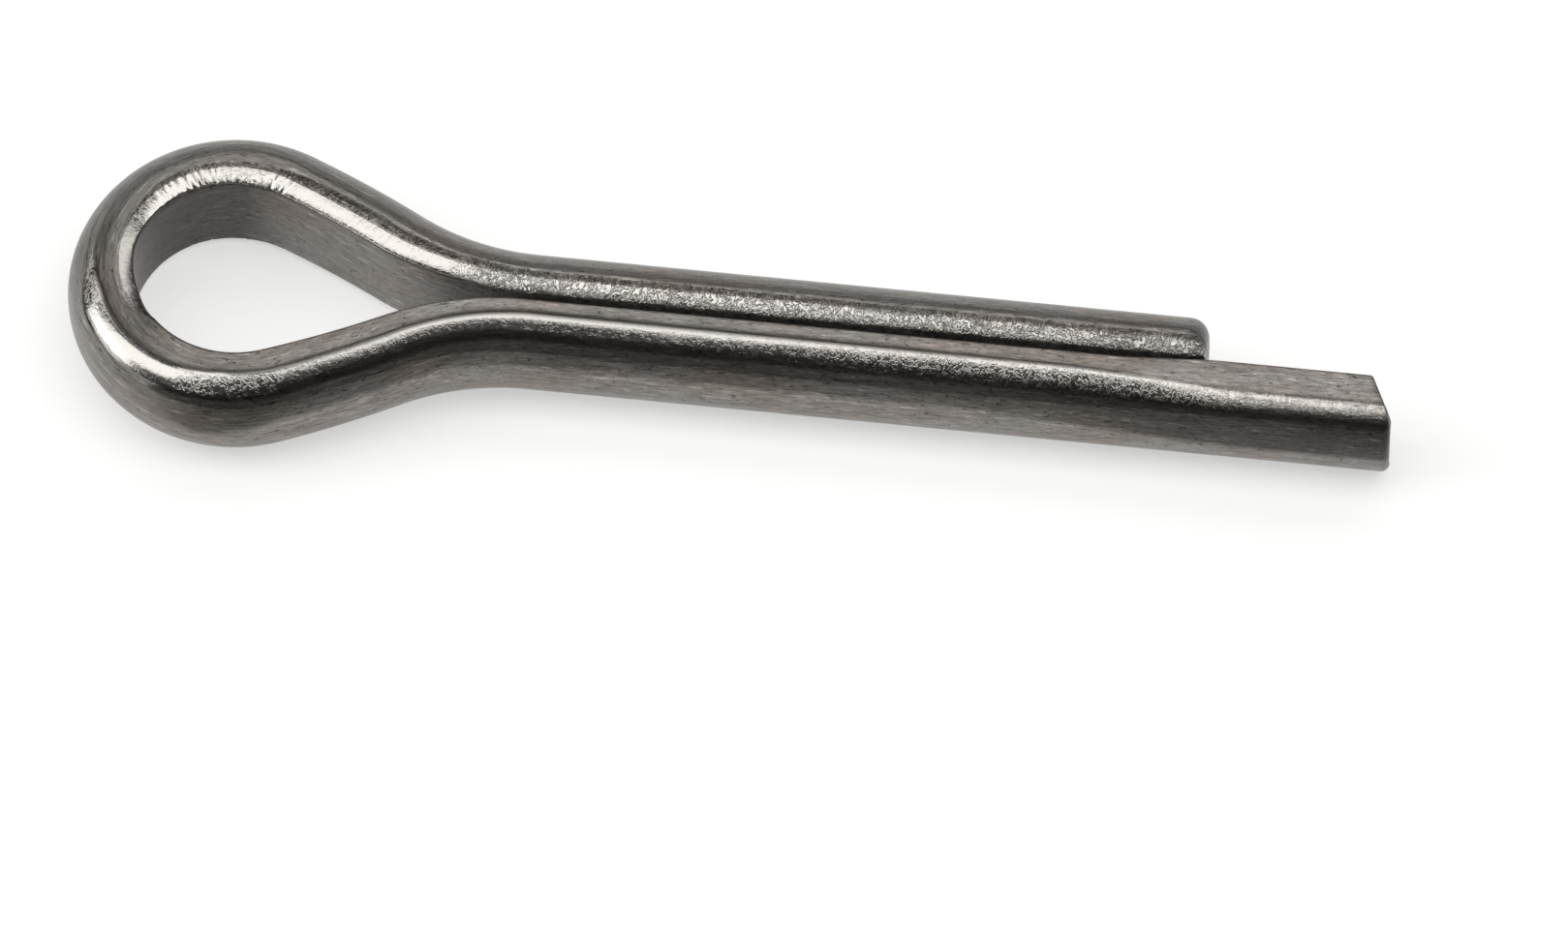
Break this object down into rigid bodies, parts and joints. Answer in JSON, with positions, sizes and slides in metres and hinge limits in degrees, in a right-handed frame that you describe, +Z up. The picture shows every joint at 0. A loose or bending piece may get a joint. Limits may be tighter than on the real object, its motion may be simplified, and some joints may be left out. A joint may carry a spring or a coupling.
{
  "type": "cotter pin",
  "caption": "Split cotter pin bent from one half-round steel wire, with a teardrop eye, a short leg and a longer bevelled leg.",
  "frame": {"origin": "under the middle of the pin, on the surface that it lies on", "axes": "+X along the shank from the eye to the leg tips, +Y from the long leg to the short leg, +Z up, square to the plane of the bends"},
  "size_m": [0.0732, 0.0184, 0.0069],
  "materials": {
    "steel_wire": "plain drawn steel, semi-bright and grey, with fine lines along the wire and crinkled shoulders where it was pressed round"
  },
  "bodies": {
    "root": {"cotter_pin": "steel_wire"}
  },
  "joints": []
}
